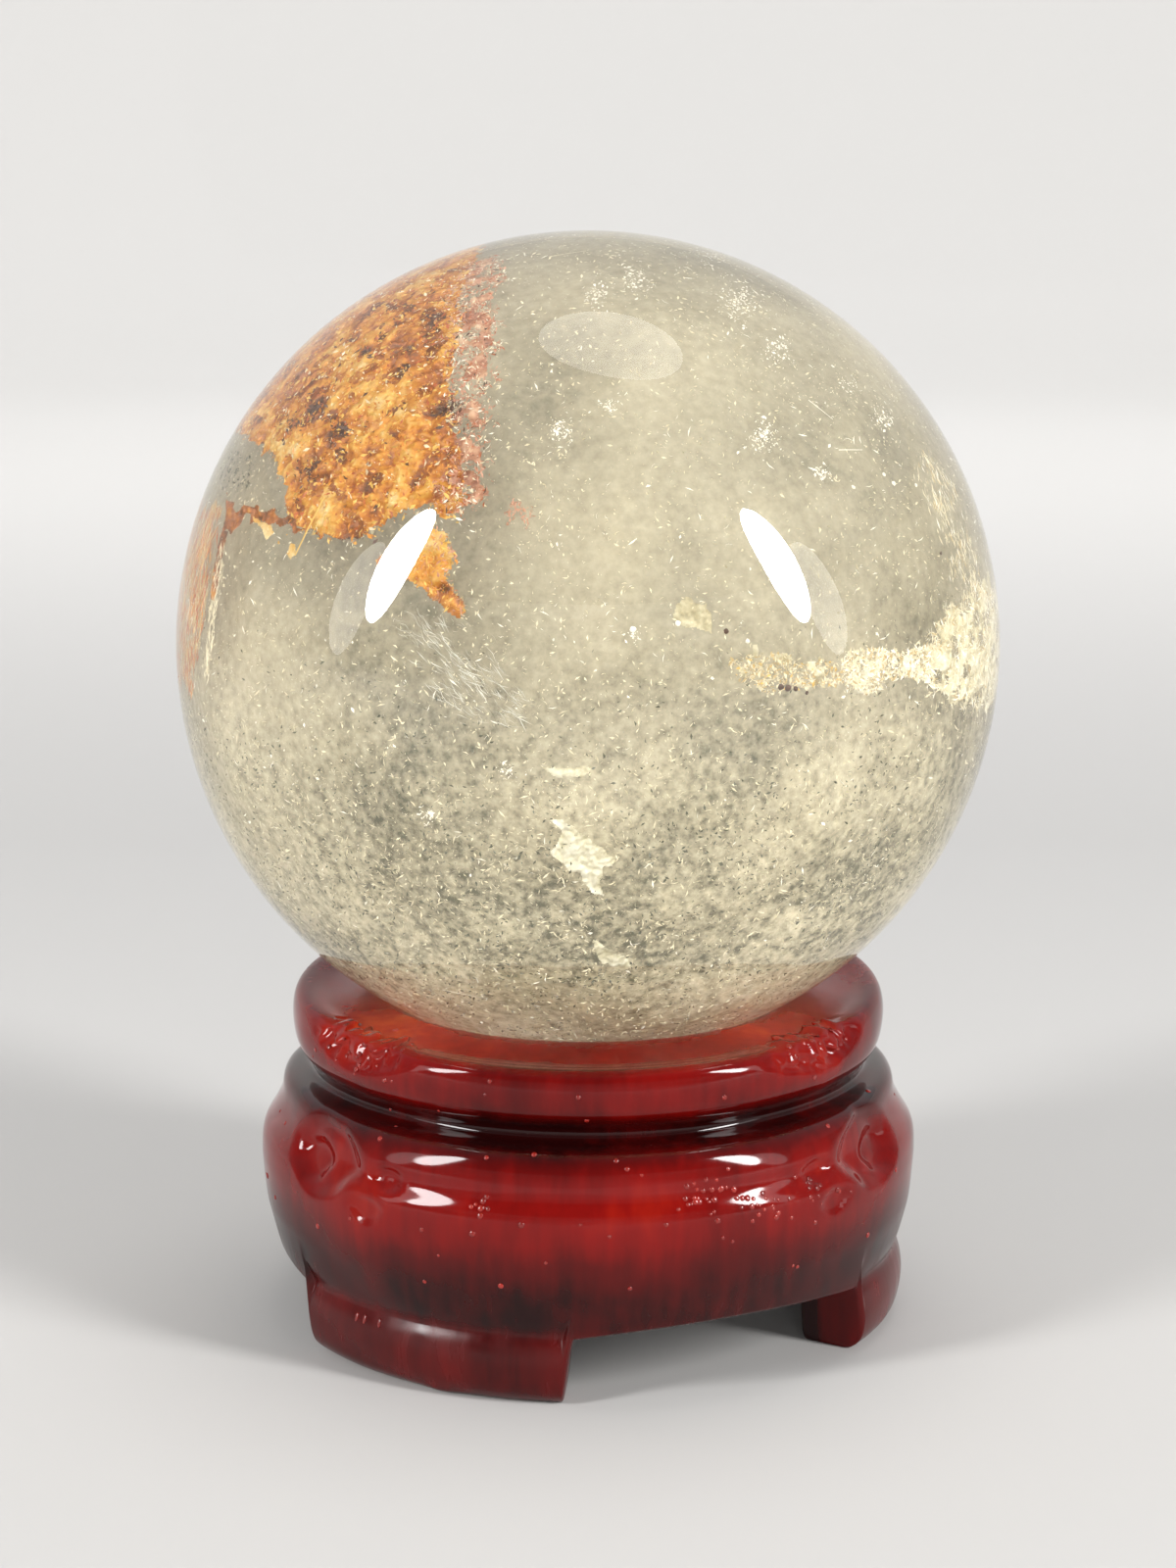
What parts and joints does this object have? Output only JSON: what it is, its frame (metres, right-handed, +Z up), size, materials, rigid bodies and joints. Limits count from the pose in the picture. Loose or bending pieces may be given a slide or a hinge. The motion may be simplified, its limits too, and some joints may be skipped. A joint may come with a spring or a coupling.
{
  "type": "garden quartz sphere",
  "caption": "Polished ball of cloudy garden quartz with rust and cream inclusions, resting in a turned red lacquered wooden stand on short feet.",
  "frame": {"origin": "centre of the stand, on the surface that its feet stand on", "axes": "+Z up; -Y is the front that the picture shows, +X to its right"},
  "size_m": [0.06, 0.06, 0.08],
  "materials": {
    "quartz": "polished, cloudy, half see-through",
    "lacquered_wood": "high-gloss cherry red lacquer"
  },
  "bodies": {
    "root": {"quartz_sphere": "quartz", "stand": "lacquered_wood"}
  },
  "joints": []
}
